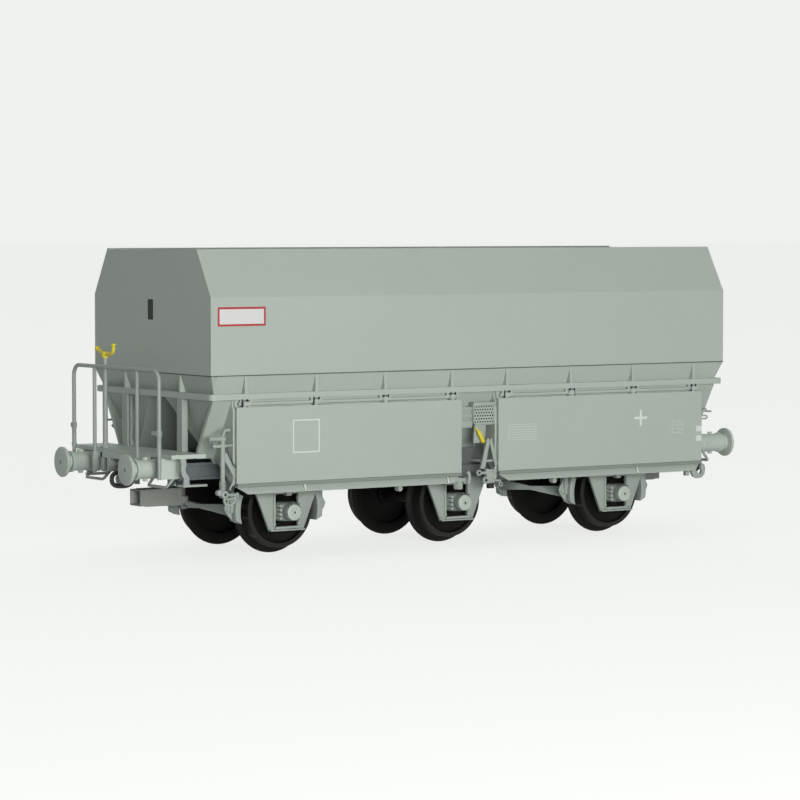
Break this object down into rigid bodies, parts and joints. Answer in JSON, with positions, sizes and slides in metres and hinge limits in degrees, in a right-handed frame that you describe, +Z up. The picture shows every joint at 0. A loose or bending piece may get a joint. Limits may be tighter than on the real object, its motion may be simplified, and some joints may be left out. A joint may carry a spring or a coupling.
{
  "type": "scale model open hopper wagon",
  "caption": "Small railway model of an open hopper wagon with side doors that swing out, a saddle floor, a railed brake platform and free-turning wheelsets.",
  "frame": {"origin": "centre of the bounding box at the foot of the wheel flanges, midway between the buffer faces", "axes": "+X along the wagon towards the plain end, -X towards the brake platform, +Y across it, +Z up"},
  "size_m": [0.1104, 0.0356, 0.0449],
  "materials": {
    "body_grey": "satin painted, pale green-grey",
    "frame_grey": "satin painted, green-grey",
    "platform_grey": "satin painted, lighter grey",
    "wire_grey": "painted wire",
    "yellow": "yellow paint",
    "wheel_steel": "blackened steel",
    "pocket_grey": "moulded plastic",
    "black": "black plastic"
  },
  "bodies": {
    "wagon": {"side_wall_front": "body_grey", "side_wall_back": "body_grey", "end_wall_platform": "body_grey", "end_wall_plain": "body_grey", "hopper_saddle": "frame_grey", "hopper_end_platform": "frame_grey", "hopper_end_plain": "frame_grey", "hopper_flank_front": "frame_grey", "hopper_flank_back": "frame_grey", "waist_frame": "body_grey", "end_posts": "frame_grey", "chute_front": "body_grey", "chute_back": "body_grey", "underframe": "frame_grey", "headstock_platform": "frame_grey", "headstock_plain": "frame_grey", "platform": "platform_grey", "handrail": "wire_grey", "brake_column": "wire_grey", "brake_crank": "yellow", "footsteps": "platform_grey", "shunter_handles": "wire_grey", "coupling_hooks": "black", "buffers_platform": "frame_grey", "buffers_plain": "frame_grey", "axleguards_platform": "frame_grey", "axleguards_middle": "frame_grey", "axleguards_plain": "frame_grey", "brake_rigging": "frame_grey", "latch_gear_front": "frame_grey", "latch_gear_back": "frame_grey", "control_box_front": "frame_grey", "control_box_back": "frame_grey", "control_levers": "yellow"},
    "wheelset_platform": {"wheelset_platform": "wheel_steel"},
    "wheelset_middle": {"wheelset_middle": "wheel_steel"},
    "wheelset_plain": {"wheelset_plain": "wheel_steel"},
    "door_front_platform": {"door_front_platform": "body_grey"},
    "door_front_plain": {"door_front_plain": "body_grey"},
    "door_back_platform": {"door_back_platform": "body_grey"},
    "door_back_plain": {"door_back_plain": "body_grey"},
    "coupler_pocket_platform": {"coupler_pocket_platform": "pocket_grey"},
    "coupler_pocket_plain": {"coupler_pocket_plain": "pocket_grey"}
  },
  "joints": [
    {"name": "wheelset_platform_spin", "type": "hinge", "parent": "wagon", "child": "wheelset_platform", "pos_m": [-0.02945, 0, 0.0064], "axis": [0, 1, 0], "continuous": true},
    {"name": "wheelset_middle_spin", "type": "hinge", "parent": "wagon", "child": "wheelset_middle", "pos_m": [0.0009, 0, 0.0064], "axis": [0, 1, 0], "continuous": true},
    {"name": "wheelset_plain_spin", "type": "hinge", "parent": "wagon", "child": "wheelset_plain", "pos_m": [0.03125, 0, 0.0064], "axis": [0, 1, 0], "continuous": true},
    {"name": "door_front_platform_hinge", "type": "hinge", "parent": "wagon", "child": "door_front_platform", "pos_m": [-0.02145, -0.01695, 0.0227], "axis": [-1, 0, 0], "range_deg": [0, 35]},
    {"name": "door_front_plain_hinge", "type": "hinge", "parent": "wagon", "child": "door_front_plain", "pos_m": [0.02455, -0.01695, 0.0227], "axis": [-1, 0, 0], "range_deg": [0, 35]},
    {"name": "door_back_platform_hinge", "type": "hinge", "parent": "wagon", "child": "door_back_platform", "pos_m": [-0.02145, 0.01695, 0.0227], "axis": [1, 0, 0], "range_deg": [0, 35]},
    {"name": "door_back_plain_hinge", "type": "hinge", "parent": "wagon", "child": "door_back_plain", "pos_m": [0.02455, 0.01695, 0.0227], "axis": [1, 0, 0], "range_deg": [0, 35]},
    {"name": "coupler_platform_swing", "type": "hinge", "parent": "wagon", "child": "coupler_pocket_platform", "pos_m": [-0.04015, 0, 0.0077], "axis": [0, 0, 1], "range_deg": [-8, 8]},
    {"name": "coupler_plain_swing", "type": "hinge", "parent": "wagon", "child": "coupler_pocket_plain", "pos_m": [0.04015, 0, 0.0077], "axis": [0, 0, 1], "range_deg": [-8, 8]}
  ]
}
